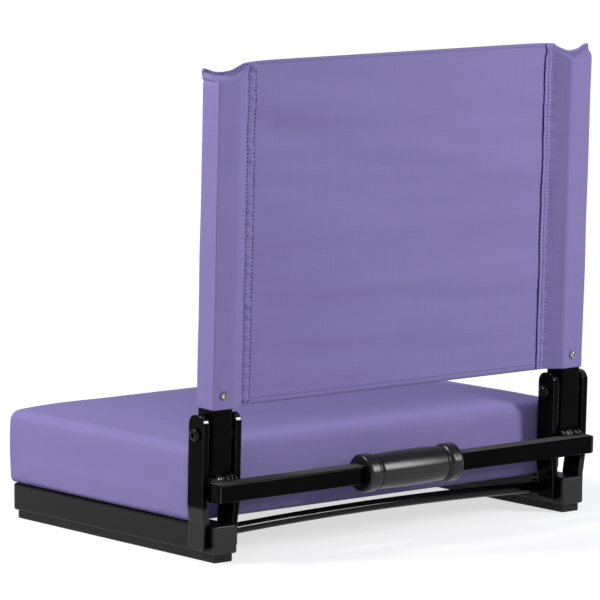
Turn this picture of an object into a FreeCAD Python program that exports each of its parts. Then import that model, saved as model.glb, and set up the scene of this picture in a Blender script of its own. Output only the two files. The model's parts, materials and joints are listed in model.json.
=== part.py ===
import FreeCAD, Part
import math
import os

# Folding stadium seat. Millimetres and degrees. +X is the sitter's left, +Y the rear, +Z up.
# The seat is worked out from the rear end of the bare runner tubes on the floor, and the finished
# pieces are then moved so that the origin lies on the floor below the middle of the whole seat.

V = FreeCAD.Vector

# Runners: two square tubes that stand on the bench, set in from the cushion's sides to their middles
runner_inset = 16.0
runner_size = 25.0
runner_wall = 1.5
runner_corner = 2.5
runner_length = 292.5
cap_flange = 3.0
cap_round = 1.2
cap_plug_depth = 14.0
cap_fit = 0.1
foot_width = 20.0
foot_thickness = 7.5
foot_corner = 1.2
foot_end_inset = 1.0

# Pivot of the folding back
pivot_setback = 12.0
pivot_rise = 80.0
recline = 2.1
bolt_diameter = 8.0
bolt_fit = 0.05
bolt_head_diameter = 12.4
bolt_head_height = 3.6
dome_crown = 0.55
dome_shoulder = 0.88
dome_shoulder_rise = 0.72
socket_across = 5.0
socket_depth = 2.4
nut_height = 5.2
nut_seat_depth = 3.5
spacer_diameter = 16.0
spacer_thickness = 3.4
side_play = 0.1

# Ears: flat bars welded to both sides of each runner
ear_thickness = 6.0
ear_depth = 21.2
ear_above_pivot = 17.3
ear_top_round = 9.0
ear_foot_round = 2.0
ear_foot_lap = 20.0
ear_bend_start = 2.0
ear_bend_rise = 16.0
stop_gap = 0.1
weld_leg = 3.5

# Rear cross rod between the runners
rod_diameter = 10.0
rod_setback = 33.0
rod_arch = 4.5
rod_weld_leg = 2.5
rod_weld_lip = 0.4

# Seat cushion
seat_width = 437.0
seat_depth = 277.5
seat_rear_setback = 26.5
seat_edge_height = 67.5
seat_crown = 14.0
seat_corner = 8.5
seat_edge_roll = 8.5
seat_base_roll = 5.0
seat_side_swell = 1.0
corner_growth = 0.3
corner_limit = 0.4
base_roll_turns = (0, 30, 60, 90)
edge_roll_turns = (0, 15, 30, 45, 60, 75)
crown_steps = (0.05, 0.12, 0.22, 0.35, 0.52, 0.74)
cover_thickness = 1.0
cover_turn_under = 36.0
board_thickness = 10.0
board_inset = 6.5
board_corner = 10.0
dust_cover_thickness = 0.6
dust_cover_gap = 1.0
seat_screw_diameter = 4.0
seat_screw_bite = 8.0
seat_screw_head = 8.0
seat_screw_head_height = 2.6
seat_screw_end_margin = 50.0
seat_screws_per_runner = 3
driver_hole = 11.0

# Back frame, measured along the back from the pivot and square to it
tube_size = 22.2
tube_wall = 1.5
tube_corner = 2.5
tube_above_pivot = 303.0
plug_flange = 2.0
plug_depth = 15.0
plug_fit = 0.1
bar_size = 16.5
bar_wall = 1.5
bar_corner = 1.8
bar_overhang = 2.4
bar_drop = 48.8
bar_plug_depth = 12.0
bar_weld_leg = 5.5

# Grip on the handle bar
grip_length = 108.0
grip_radius = 15.6
grip_swell = 0.9
grip_collar_radius = 17.2
grip_collar_length = 13.0
grip_groove_length = 4.0
grip_groove_radius = 14.6
grip_edge_round = 2.5

# Back cloth
cloth = 0.8
sleeve_ease = 0.2
sleeve_corner = 3.2
cloth_bottom = 21.7
cloth_rise = 17.7
sleeve_ridge_drop = 6.7
sleeve_tip = 6.0
seam_gap = 15.6
flap_width = 9.6
panel_offset = 1.2
hem_height = 9.0
sleeve_pinch = 3.0
sleeve_pinch_gap = 0.4
ridge_fullness = 1.5
ridge_round = 0.2
back_screw_rise = 12.6
back_screw_diameter = 4.0
back_screw_length = 10.0
back_screw_head = 7.4
back_screw_head_height = 2.4
back_screw_head_round = 1.4

# Smallest rounds, how far a cutting block runs past what it cuts, and a length that counts as nothing
least_round = 0.2
least_roll = 1.0
cut_margin = 1.0
tiny = 0.01

# Places that follow from the sizes
runner_x = seat_width / 2 - runner_inset
runner_base = foot_thickness
runner_top = runner_base + runner_size
runner_inner_side = runner_x - runner_size / 2
pivot_y = -pivot_setback
pivot_z = runner_top + pivot_rise
bolt_radius = bolt_diameter / 2
tube_half = tube_size / 2
ear_gap = tube_half + spacer_thickness + 2 * side_play
ear_rear = tube_half - stop_gap
ear_front = ear_rear - ear_depth
ear_foot = runner_top - ear_foot_lap - pivot_z
bar_n = tube_half + bar_size / 2
bar_end = runner_x + tube_half + bar_overhang
tube_bottom = -bar_drop - bar_size / 2
seat_rear = -seat_rear_setback
seat_front = seat_rear - seat_depth
seat_mid_y = (seat_rear + seat_front) / 2
sleeve_half = tube_half + sleeve_ease + cloth
seam_x = runner_x - tube_half - seam_gap
panel_rear = panel_offset + cloth
cloth_top = tube_above_pivot + cloth_rise
ridge_u = cloth_top - sleeve_ridge_drop
cover_peak = tube_above_pivot + plug_flange + cloth

sides = {"left": 1, "right": -1}
back_place = FreeCAD.Placement(V(0, pivot_y, pivot_z), FreeCAD.Rotation(V(1, 0, 0), -recline))


# Closed wire through points, with the corners rounded where a radius is given
def rounded_wire(points, radii):
    edges = []
    last_end = None
    first_start = None
    count = len(points)
    for i in range(count):
        here = points[i]
        before = (points[i - 1] - here).normalize()
        after = (points[(i + 1) % count] - here).normalize()
        start = end = here
        arc = None
        if radii[i] > 0:
            half_turn = before.getAngle(after) / 2
            reach = radii[i] / math.tan(half_turn)
            start = here + before * reach
            end = here + after * reach
            inward = (before + after).normalize()
            middle = here + inward * (radii[i] / math.sin(half_turn) - radii[i])
            arc = Part.Arc(start, middle, end).toShape()
        if last_end is None:
            first_start = start
        else:
            edges.append(Part.makeLine(last_end, start))
        if arc:
            edges.append(arc)
        last_end = end
    edges.append(Part.makeLine(last_end, first_start))
    return Part.Wire(edges)


def rounded_prism(points, radii, along):
    return Part.Face(rounded_wire(points, radii)).extrude(along)


# Rectangle in the plane square to Z, centred on (x, y)
def rectangle(width, depth, x, y, z):
    return [V(x - width / 2, y - depth / 2, z), V(x + width / 2, y - depth / 2, z),
            V(x + width / 2, y + depth / 2, z), V(x - width / 2, y + depth / 2, z)]


def upright_block(width, depth, corner, x, y, low, high):
    return rounded_prism(rectangle(width, depth, x, y, low), [corner] * 4, V(0, 0, high - low))


# Corner round of a tube's bore, which a plug in it shares
def bore_corner(corner, wall):
    return max(corner - wall, least_round)


# Square tube standing on Z, open at both ends
def upright_tube(size, wall, corner, x, y, low, high):
    outside = upright_block(size, size, corner, x, y, low, high)
    bore = size - 2 * wall
    return outside.cut(upright_block(bore, bore, bore_corner(corner, wall), x, y, low, high))


# Turn a piece that stands on Z so that it lies along Y or X
def lay_along_y(shape):
    return shape.rotate(V(0, 0, 0), V(1, 0, 0), 90)


def lay_along_x(shape):
    return shape.rotate(V(0, 0, 0), V(0, 1, 0), 90)


def rod_along_x(radius, start, end, y, z):
    return Part.makeCylinder(radius, end - start, V(start, y, z), V(1, 0, 0))


def box_between(low, high):
    return Part.makeBox(high.x - low.x, high.y - low.y, high.z - low.z, low)


def mirrored(shape):
    return shape.mirror(V(0, 0, 0), V(1, 0, 0))


# Build a left-hand piece once and give it, or its mirror image, for the side asked for
def for_side(shape, side):
    return shape if side > 0 else mirrored(shape)


def on_back(shape):
    placed = shape.copy()
    placed.Placement = back_place.multiply(placed.Placement)
    return placed


# Runners with their end caps and foot strips
def seat_screw_places():
    first = -runner_length + seat_screw_end_margin
    step = (runner_length - 2 * seat_screw_end_margin) / (seat_screws_per_runner - 1)
    return [first + step * i for i in range(seat_screws_per_runner)]


def runner():
    tube = lay_along_y(upright_tube(runner_size, runner_wall, runner_corner, 0, 0, 0, runner_length))
    tube.translate(V(runner_x, 0, runner_base + runner_size / 2))
    for y in seat_screw_places():
        tube = tube.cut(Part.makeCylinder(driver_hole / 2, runner_size / 2, V(runner_x, y, runner_base)))
        tube = tube.cut(Part.makeCylinder(seat_screw_diameter / 2, runner_size, V(runner_x, y, runner_base)))
    return tube


def runner_cap(end_y, outward):
    flange = upright_block(runner_size, runner_size, runner_corner, 0, 0, 0, cap_flange)
    rim = [e for e in flange.Edges if e.BoundBox.ZMin > cap_flange - tiny]
    flange = flange.makeFillet(cap_round, rim)
    bore = runner_size - 2 * runner_wall - 2 * cap_fit
    plug = upright_block(bore, bore, bore_corner(runner_corner, runner_wall), 0, 0, -cap_plug_depth, 0)
    cap = flange.fuse(plug).removeSplitter()
    cap.rotate(V(0, 0, 0), V(1, 0, 0), -90 * outward)
    cap.translate(V(runner_x, end_y, runner_base + runner_size / 2))
    return cap


def foot_strip():
    length = runner_length - 2 * foot_end_inset
    strip = box_between(V(runner_x - foot_width / 2, -runner_length + foot_end_inset, 0),
                        V(runner_x + foot_width / 2, -foot_end_inset, foot_thickness))
    sole = [e for e in strip.Edges if e.BoundBox.ZMax < tiny and e.Length > length - tiny]
    return strip.makeFillet(foot_corner, sole)


# One ear: a flat bar, bent in towards the runner and rounded at its top
def ear(outward):
    top = ear_above_pivot
    bend_low = runner_top + ear_bend_start - pivot_z
    bend_high = bend_low + ear_bend_rise
    foot_x = runner_x + outward * runner_size / 2
    head_x = runner_x + outward * ear_gap
    grow = outward * ear_thickness
    side_view = [V(foot_x, 0, ear_foot), V(foot_x, 0, bend_low), V(head_x, 0, bend_high), V(head_x, 0, top),
                 V(head_x + grow, 0, top), V(head_x + grow, 0, bend_high),
                 V(foot_x + grow, 0, bend_low), V(foot_x + grow, 0, ear_foot)]
    bar = rounded_prism([p + V(0, ear_front, 0) for p in side_view], [0] * 8, V(0, ear_depth, 0))
    edges_x = [foot_x, head_x, foot_x + grow, head_x + grow]
    low_x = min(edges_x) - cut_margin
    high_x = max(edges_x) + cut_margin
    face_view = [V(low_x, ear_front, ear_foot), V(low_x, ear_rear, ear_foot),
                 V(low_x, ear_rear, top), V(low_x, ear_front, top)]
    radii = [ear_foot_round, ear_foot_round, ear_top_round, ear_top_round]
    blank = bar.common(rounded_prism(face_view, radii, V(high_x - low_x, 0, 0)))
    return blank.cut(rod_along_x(bolt_radius + bolt_fit, low_x, high_x, 0, 0))


# Weld bead below an ear's foot, on the runner's side
def ear_weld(outward):
    wall_x = runner_x + outward * runner_size / 2
    bead = [V(wall_x, ear_front + ear_foot_round, ear_foot),
            V(wall_x + outward * weld_leg, ear_front + ear_foot_round, ear_foot),
            V(wall_x, ear_front + ear_foot_round, ear_foot - weld_leg)]
    return rounded_prism(bead, [0] * 3, V(0, ear_depth - 2 * ear_foot_round, 0))


# Pivot: a button-head bolt through both ears and the back tube, with spacers and a domed nut
def dome_edges(height, direction):
    rim = V(0, bolt_head_diameter / 2, 0)
    shoulder = V(direction * height * dome_shoulder_rise, bolt_head_diameter / 2 * dome_shoulder, 0)
    crown = V(direction * height, bolt_head_diameter / 2 * dome_crown, 0)
    top = V(direction * height, 0, 0)
    return [Part.Arc(rim, shoulder, crown).toShape(), Part.makeLine(crown, top)]


# Solid of revolution about X from a dome and the points that close its outline
def turned(dome, points):
    edges = list(dome)
    corners = [dome[-1].Vertexes[-1].Point] + points + [dome[0].Vertexes[0].Point]
    for start, end in zip(corners, corners[1:]):
        edges.append(Part.makeLine(start, end))
    return Part.Face(Part.Wire(edges)).revolve(V(0, 0, 0), V(1, 0, 0), 360)


def pivot_bolt():
    under_head = ear_gap + ear_thickness
    shank_length = 2 * under_head + nut_seat_depth
    bolt = turned(dome_edges(bolt_head_height, 1),
                  [V(-shank_length, 0, 0), V(-shank_length, bolt_radius, 0), V(0, bolt_radius, 0)])
    reach = socket_across / math.sqrt(3)
    corners = [V(bolt_head_height - socket_depth, reach * math.cos(math.radians(60 * i)),
                 reach * math.sin(math.radians(60 * i))) for i in range(6)]
    bolt = bolt.cut(rounded_prism(corners, [0] * 6, V(socket_depth, 0, 0)))
    bolt.translate(V(runner_x + under_head, 0, 0))
    return bolt


def pivot_nut():
    nut = turned(dome_edges(nut_height, -1),
                 [V(-nut_seat_depth, 0, 0), V(-nut_seat_depth, bolt_radius, 0), V(0, bolt_radius, 0)])
    nut.translate(V(runner_x - ear_gap - ear_thickness, 0, 0))
    return nut


def pivot_spacer(outward):
    inner = runner_x + outward * (tube_half + side_play)
    outer = inner + outward * spacer_thickness
    low = min(inner, outer)
    high = max(inner, outer)
    ring = rod_along_x(spacer_diameter / 2, low, high, 0, 0)
    return ring.cut(rod_along_x(bolt_radius + bolt_fit, low, high, 0, 0))


# Rear cross rod: a gentle arch between the runners' inner sides
def rod_path_point(share):
    return V(share * runner_inner_side, -rod_setback,
             runner_base + runner_size / 2 + rod_arch * (1 - share * share))


def cross_rod():
    overrun = 1 + cut_margin / runner_inner_side
    arch = Part.Arc(rod_path_point(-overrun), rod_path_point(0), rod_path_point(overrun)).toShape()
    start = arch.valueAt(arch.FirstParameter)
    heading = arch.tangentAt(arch.FirstParameter)
    ring = Part.Wire([Part.makeCircle(rod_diameter / 2, start, heading)])
    rod = Part.Wire([arch]).makePipeShell([ring], True, False)
    reach = rod_diameter + rod_arch
    between = box_between(V(-runner_inner_side, -rod_setback - reach, runner_base - reach),
                          V(runner_inner_side, -rod_setback + reach, runner_top + reach))
    return rod.common(between)


def rod_weld(rod):
    end = rod_path_point(1)
    foot = rod_diameter / 2 + rod_weld_leg
    lip = rod_diameter / 2 + rod_weld_lip
    cone = Part.makeCone(foot, lip, rod_weld_leg, end, V(-1, 0, 0))
    return cone.cut(rod)


# Cushion body, drawn in by an even amount: upright sides with a slight swell, rolled edges, crowned top
def cushion(draw_in):
    base_roll = max(seat_base_roll - draw_in, least_roll)
    edge_roll = max(seat_edge_roll - draw_in, least_roll)
    roll_centre = seat_edge_height - draw_in - edge_roll
    base = draw_in
    levels = []
    for turn in base_roll_turns:
        levels.append((seat_side_swell + base_roll * (1 - math.sin(math.radians(turn))),
                       base + base_roll * (1 - math.cos(math.radians(turn)))))
    levels.append((0, (base + base_roll + roll_centre) / 2))
    for turn in edge_roll_turns:
        levels.append((seat_side_swell + edge_roll * (1 - math.cos(math.radians(turn))),
                       roll_centre + edge_roll * math.sin(math.radians(turn))))
    edge_inset, edge_level = levels[-1]
    peak = seat_edge_height + seat_crown - draw_in
    crown_reach = seat_depth / 2 - draw_in - edge_inset
    for share in crown_steps:
        levels.append((edge_inset + crown_reach * share,
                       edge_level + (peak - edge_level) * (1 - (1 - share) ** 2)))
    wires = []
    for inset, level in levels:
        width = seat_width - 2 * (draw_in + inset)
        depth = seat_depth - 2 * (draw_in + inset)
        corner = min(seat_corner + inset * corner_growth - draw_in, depth * corner_limit)
        outline = rectangle(width, depth, 0, seat_mid_y, runner_top + level)
        wires.append(rounded_wire(outline, [corner] * 4))
    return Part.makeLoft(wires, True, True)


def board_block(low, high):
    width = seat_width - 2 * board_inset
    depth = seat_depth - 2 * board_inset
    return upright_block(width, depth, board_corner, 0, seat_mid_y, low, high)


def seat_screw_points():
    level = runner_top - runner_wall
    return [V(side * runner_x, y, level) for side in sides.values() for y in seat_screw_places()]


def seat_screw(point):
    reach = runner_wall + cover_thickness + seat_screw_bite
    head = Part.makeCylinder(seat_screw_head / 2, seat_screw_head_height,
                             point - V(0, 0, seat_screw_head_height))
    return head.fuse(Part.makeCylinder(seat_screw_diameter / 2, reach, point)).removeSplitter()


# Opening left by the turned-under cover, drawn in by an even amount
def seat_window(draw_in, low, high):
    width = seat_width - 2 * cover_turn_under - 2 * draw_in
    depth = seat_depth - 2 * cover_turn_under - 2 * draw_in
    return upright_block(width, depth, board_corner, 0, seat_mid_y, low, high)


def build_seat():
    board_low = runner_top + cover_thickness
    board_high = board_low + board_thickness
    screws = [seat_screw(p) for p in seat_screw_points()]
    board = board_block(board_low, board_high)
    outside = cushion(0)
    inside = cushion(cover_thickness)
    foam = inside.cut(board_block(board_low - cut_margin, board_high))
    cover = outside.cut(inside).cut(seat_window(0, runner_top - cut_margin, board_low + cut_margin))
    for screw in screws:
        board = board.cut(screw)
        cover = cover.cut(screw)
    dust_cover = seat_window(dust_cover_gap, board_low - dust_cover_thickness, board_low)
    save("seat_board", board)
    save("seat_foam", foam)
    save("seat_cover", cover)
    save("seat_dust_cover", dust_cover)
    save("seat_screws", Part.makeCompound(screws))


# Back tubes, with plugs in both ends
def back_screw_shank():
    start = V(runner_x, sleeve_half, cloth_bottom + back_screw_rise)
    return Part.makeCylinder(back_screw_diameter / 2, back_screw_length, start, V(0, -1, 0))


def back_tube():
    tube = upright_tube(tube_size, tube_wall, tube_corner, runner_x, 0, tube_bottom, tube_above_pivot)
    tube = tube.cut(rod_along_x(bolt_radius + bolt_fit, 0, 2 * runner_x, 0, 0))
    return tube.cut(back_screw_shank())


def tube_plug(end_u, outward):
    bore = tube_size - 2 * tube_wall - 2 * plug_fit
    inner_u = end_u - outward * plug_depth
    outer_u = end_u + outward * plug_flange
    plug = upright_block(bore, bore, bore_corner(tube_corner, tube_wall), runner_x, 0,
                         min(end_u, inner_u), max(end_u, inner_u))
    flange = upright_block(tube_size, tube_size, tube_corner, runner_x, 0,
                           min(end_u, outer_u), max(end_u, outer_u))
    return plug.fuse(flange).removeSplitter()


# Handle bar across the back tubes, with end plugs, welds and grip
def handle_bar():
    bar = lay_along_x(upright_tube(bar_size, bar_wall, bar_corner, 0, 0, -bar_end, bar_end))
    bar.translate(V(0, bar_n, -bar_drop))
    return bar


def bar_plug():
    bore = bar_size - 2 * bar_wall - 2 * plug_fit
    corner = bore_corner(bar_corner, bar_wall)
    plug = upright_block(bore, bore, corner, 0, 0, bar_end - bar_plug_depth, bar_end)
    flange = upright_block(bar_size, bar_size, bar_corner, 0, 0, bar_end, bar_end + plug_flange)
    rim = [e for e in flange.Edges if e.BoundBox.ZMin > bar_end + plug_flange - tiny]
    closed = lay_along_x(plug.fuse(flange.makeFillet(min(cap_round, plug_flange / 2), rim)).removeSplitter())
    closed.translate(V(0, bar_n, -bar_drop))
    return closed


def bar_weld():
    seat_u = -bar_drop + bar_size / 2
    start_x = runner_x - tube_half + tube_corner
    bead = [V(start_x, tube_half, seat_u), V(start_x, tube_half + bar_weld_leg, seat_u),
            V(start_x, tube_half, seat_u + bar_weld_leg)]
    return rounded_prism(bead, [0] * 3, V(tube_size - 2 * tube_corner, 0, 0))


def grip():
    half = grip_length / 2
    collar_in = half - grip_collar_length
    body_end = collar_in - grip_groove_length
    rounding = grip_edge_round
    quarter = rounding * (1 - math.sqrt(0.5))
    edges = []
    for s in (-1, 1):
        outer_start = V(s * half, grip_collar_radius - rounding, 0)
        outer_mid = V(s * (half - quarter), grip_collar_radius - quarter, 0)
        outer_end = V(s * (half - rounding), grip_collar_radius, 0)
        inner_start = V(s * (collar_in + rounding), grip_collar_radius, 0)
        inner_mid = V(s * (collar_in + quarter), grip_collar_radius - quarter, 0)
        inner_end = V(s * collar_in, grip_collar_radius - rounding, 0)
        groove = V(s * (body_end + grip_groove_length / 2), grip_groove_radius, 0)
        edges += [Part.makeLine(V(s * half, 0, 0), outer_start),
                  Part.Arc(outer_start, outer_mid, outer_end).toShape(),
                  Part.makeLine(outer_end, inner_start),
                  Part.Arc(inner_start, inner_mid, inner_end).toShape(),
                  Part.Arc(inner_end, groove, V(s * body_end, grip_radius, 0)).toShape()]
    edges.append(Part.Arc(V(-body_end, grip_radius, 0), V(0, grip_radius + grip_swell, 0),
                          V(body_end, grip_radius, 0)).toShape())
    edges.append(Part.makeLine(V(-half, 0, 0), V(half, 0, 0)))
    outline = Part.Wire(Part.__sortEdges__(edges))
    body = Part.Face(outline).revolve(V(0, 0, 0), V(1, 0, 0), 360)
    body.translate(V(0, bar_n, -bar_drop))
    bore = lay_along_x(upright_block(bar_size, bar_size, bar_corner, 0, 0, -half, half))
    bore.translate(V(0, bar_n, -bar_drop))
    return body.cut(bore)


# Back panel: one cloth between the seams, doubled at its top and bottom hems
def back_panel():
    sheet = box_between(V(-seam_x, panel_offset, cloth_bottom), V(seam_x, panel_rear, cloth_top))
    hem_x = seam_x - flap_width
    for low in (cloth_bottom, cloth_top - hem_height):
        hem = box_between(V(-hem_x, panel_rear, low), V(hem_x, panel_rear + cloth, low + hem_height))
        sheet = sheet.fuse(hem)
    return sheet.removeSplitter()


# Outline of a sleeve: round the tube and drawn together at the seam
def sleeve_points(half, seam_at, seam_rear, seam_front, u):
    return [V(seam_at, seam_rear, u), V(runner_x - half, half, u), V(runner_x + half, half, u),
            V(runner_x + half, -half, u), V(runner_x - half, -half, u), V(seam_at, seam_front, u)]


# Outline of the sewn ridge that closes a sleeve's top: two cloths deep, fuller beside the tube
def ridge_points(u):
    out_x = runner_x + sleeve_half + sleeve_tip
    in_x = runner_x - sleeve_half
    full = cloth * ridge_fullness
    rear_half = [(seam_x, cloth), (in_x, full), (out_x, cloth)]
    front_half = [(x, -depth) for x, depth in reversed(rear_half)]
    return [V(x, panel_rear + depth, u) for x, depth in rear_half + front_half]


# Rounds of an outline that is sharp only at its first and last point, the seam
def seam_rounds(radius):
    return [0, radius, radius, radius, radius, 0]


def sleeve():
    seam_rear = panel_rear + cloth
    foot = sleeve_points(sleeve_half, seam_x, seam_rear, panel_offset, cloth_bottom)
    shoulder = sleeve_points(sleeve_half, seam_x, seam_rear, panel_offset, cover_peak)
    body = rounded_prism(foot, seam_rounds(sleeve_corner), V(0, 0, cover_peak - cloth_bottom))
    shoulder_wire = rounded_wire(shoulder, seam_rounds(sleeve_corner))
    ridge_wire = rounded_wire(ridge_points(ridge_u), seam_rounds(ridge_round))
    closure = Part.makeLoft([shoulder_wire, ridge_wire], True, True)
    flap = box_between(V(seam_x - flap_width, panel_rear, cloth_bottom), V(seam_x, seam_rear, cloth_top))
    pinch = sleeve_pinch_gap / 2
    hollow = sleeve_points(sleeve_half - cloth, seam_x + sleeve_pinch, panel_rear + pinch,
                           panel_rear - pinch, cloth_bottom)
    rise = V(0, 0, cover_peak - cloth - cloth_bottom)
    cavity = rounded_prism(hollow, seam_rounds(sleeve_corner - cloth), rise)
    return body.fuse(closure).fuse(flap).removeSplitter().cut(cavity).cut(back_screw_shank())


def back_screw():
    head_base = V(runner_x, sleeve_half, cloth_bottom + back_screw_rise)
    head = Part.makeCylinder(back_screw_head / 2, back_screw_head_height, head_base, V(0, 1, 0))
    rim = [e for e in head.Edges if e.BoundBox.YMin > sleeve_half + back_screw_head_height - tiny]
    return head.makeFillet(back_screw_head_round, rim).fuse(back_screw_shank()).removeSplitter()


# Pieces are moved so that the origin lies below the middle of the whole seat, front to rear
def rear_most():
    grip_axis = on_back(Part.Vertex(V(0, bar_n, -bar_drop))).Point
    return grip_axis.y + grip_collar_radius


origin_y = (seat_front + rear_most()) / 2


def save(name, shape):
    placed = shape.copy()
    placed.translate(V(0, -origin_y, 0))
    placed.exportStep("parts/" + name + ".step")
    solids = placed.Solids
    state = "valid" if placed.isValid() else "NOT VALID"
    print(f"{name}: {len(solids)} solid(s), {sum(s.Volume for s in solids) / 1000:.1f} cm3, {state}")


# The same piece for the left and the right side, as one group
def both_sides(shape):
    return [for_side(shape, side) for side in sides.values()]


def build_base():
    for name, side in sides.items():
        save(name + "_runner", for_side(runner(), side))
        save(name + "_front_cap", for_side(runner_cap(-runner_length, -1), side))
        save(name + "_rear_cap", for_side(runner_cap(0, 1), side))
        save(name + "_foot_strip", for_side(foot_strip(), side))
        save(name + "_outer_ear", for_side(on_back(ear(1)), side))
        save(name + "_inner_ear", for_side(on_back(ear(-1)), side))
        save(name + "_pivot_bolt", for_side(on_back(pivot_bolt()), side))
        save(name + "_pivot_nut", for_side(on_back(pivot_nut()), side))
    ear_welds = both_sides(on_back(ear_weld(1))) + both_sides(on_back(ear_weld(-1)))
    save("ear_welds", Part.makeCompound(ear_welds))
    spacers = both_sides(on_back(pivot_spacer(1))) + both_sides(on_back(pivot_spacer(-1)))
    save("pivot_spacers", Part.makeCompound(spacers))
    rod = cross_rod()
    save("rear_cross_rod", rod)
    save("rod_welds", Part.makeCompound(both_sides(rod_weld(rod))))


def build_back():
    for name, side in sides.items():
        save(name + "_back_tube", for_side(on_back(back_tube()), side))
        save(name + "_sleeve", for_side(on_back(sleeve()), side))
    top_plugs = both_sides(on_back(tube_plug(tube_above_pivot, 1)))
    foot_plugs = both_sides(on_back(tube_plug(tube_bottom, -1)))
    save("back_tube_plugs", Part.makeCompound(top_plugs + foot_plugs))
    save("handle_bar", on_back(handle_bar()))
    save("bar_end_plugs", Part.makeCompound(both_sides(on_back(bar_plug()))))
    save("bar_welds", Part.makeCompound(both_sides(on_back(bar_weld()))))
    save("handle_grip", on_back(grip()))
    save("back_panel", on_back(back_panel()))
    save("sleeve_screws", Part.makeCompound(both_sides(on_back(back_screw()))))


os.makedirs("parts", exist_ok=True)
build_base()
build_seat()
build_back()
print(f"pivot at y {pivot_y - origin_y:.3f}, z {pivot_z:.3f}; runner tube end at y {-origin_y:.3f}")
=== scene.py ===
import json
import math
import bmesh
import bpy
from mathutils import Matrix, Vector, noise


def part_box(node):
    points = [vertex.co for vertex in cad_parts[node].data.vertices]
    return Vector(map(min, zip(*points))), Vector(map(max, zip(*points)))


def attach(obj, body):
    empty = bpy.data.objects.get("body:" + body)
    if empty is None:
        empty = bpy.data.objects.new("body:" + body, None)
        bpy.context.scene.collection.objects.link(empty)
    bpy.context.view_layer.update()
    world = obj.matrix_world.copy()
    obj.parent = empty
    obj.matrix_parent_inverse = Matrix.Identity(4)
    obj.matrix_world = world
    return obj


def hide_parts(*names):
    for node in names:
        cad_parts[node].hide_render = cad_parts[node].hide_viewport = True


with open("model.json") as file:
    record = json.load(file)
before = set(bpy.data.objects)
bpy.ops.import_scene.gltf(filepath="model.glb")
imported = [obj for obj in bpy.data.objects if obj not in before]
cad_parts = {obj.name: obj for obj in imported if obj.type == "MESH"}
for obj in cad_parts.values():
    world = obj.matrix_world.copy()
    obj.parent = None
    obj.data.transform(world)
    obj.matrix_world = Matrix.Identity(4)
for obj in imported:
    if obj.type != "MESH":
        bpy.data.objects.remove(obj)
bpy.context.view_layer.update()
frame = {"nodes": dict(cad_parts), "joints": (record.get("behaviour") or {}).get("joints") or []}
nodes = frame["nodes"]
mm = 0.001
print("frame loaded:", len(nodes), "nodes")


# Colours are written as sRGB hex and turned to linear here
def hexColour(text):
    channels = [int(text[i:i + 2], 16) / 255 for i in (1, 3, 5)]
    linear = [c / 12.92 if c <= 0.04045 else ((c + 0.055) / 1.055) ** 2.4 for c in channels]
    return (*linear, 1.0)


# Adds a node, sets its sockets or its own settings, and links sources into it
def addNode(tree, kind, settings={}, links={}):
    node = tree.nodes.new(kind)
    for key, value in settings.items():
        if isinstance(key, int) or key in node.inputs:
            node.inputs[key].default_value = value
        else:
            setattr(node, key, value)
    for key, source in links.items():
        tree.links.new(source, node.inputs[key])
    return node


def startMaterial(name, settings):
    material = bpy.data.materials.new(name)
    material.use_nodes = True
    tree = material.node_tree
    tree.nodes.clear()
    shader = addNode(tree, "ShaderNodeBsdfPrincipled", settings)
    addNode(tree, "ShaderNodeOutputMaterial", {}, {"Surface": shader.outputs["BSDF"]})
    place = addNode(tree, "ShaderNodeTexCoord").outputs["Object"]
    return material, tree, shader, place


# Two tones of one finish, mixed by a pattern between its low and high ends
def twoTones(tree, pattern, low, high, dark, light):
    share = addNode(tree, "ShaderNodeMapRange", {"From Min": low, "From Max": high}, {"Value": pattern})
    tone = addNode(tree, "ShaderNodeMix", {"data_type": "RGBA", 6: hexColour(dark), 7: hexColour(light)},
                   {0: share.outputs["Result"]})
    return tone.outputs[2]


def perMetre(sizeInMm):
    return 1 / (sizeInMm * mm)


# The same for a wave texture, whose bands repeat every tau / 20 at a scale of 1
def bandScale(pitchInMm):
    return math.tau / 20 * perMetre(pitchInMm)


# Gloss black enamel baked on steel: deep black with clear reflections and a faint orange peel.
# level is the gloss of the flats, edgeLevel that of the edges, where the paint draws thick and catches the
# light, footLevel that of the lowest part, and crestLevel that of rounded tops. The last entry is how much
# painted sheen lies on faces that look up: a rougher grey that stands in for the light they catch at a
# grazing angle. edgeTurn gives the cosines of the turn at which an edge's gloss begins and is full.
enamelLook = {
    "dark": "#050506", "light": "#09090a", "roughness": (0.06, 0.11), "peelMm": 2.2, "footMm": (50.0, 46.0),
    # Painted sheen: a grey and a roughness for faces that look up, standing in for the light caught at a
    # grazing angle
    "paintedSheenColour": "#454545", "paintedSheenRoughness": 0.6, "paintedSheenFacing": (0.75, 0.97), "crestFacing": (0.2, 0.45),
    "edgeTurn": (0.995, 0.93),
    "glossBlackEnamel": {"level": 0.16, "edgeLevel": 0.4, "footLevel": 0.16, "crestLevel": 0.16,
                         "edgeMm": 0.3, "paintedSheen": 0.0},
    "flatBlackEnamel": {"level": 0.025, "edgeLevel": 0.3, "footLevel": 0.025, "crestLevel": 0.6,
                        "edgeMm": 1.1, "paintedSheen": 0.0},
    "earBlackEnamel": {"level": 0.02, "edgeLevel": 0.3, "footLevel": 0.25, "crestLevel": 0.6,
                       "edgeMm": 1.1, "paintedSheen": 0.0},
    # The bar's top gets the full painted sheen
    "barBlackEnamel": {"level": 0.02, "edgeLevel": 0.5, "footLevel": 0.02, "crestLevel": 0.02,
                       "edgeMm": 1.1, "paintedSheen": 1.0},
    "beadBlackEnamel": {"level": 0.5, "edgeLevel": 0.5, "footLevel": 0.5, "crestLevel": 0.5,
                        "edgeMm": 0.05, "paintedSheen": 0.0},
}


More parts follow.
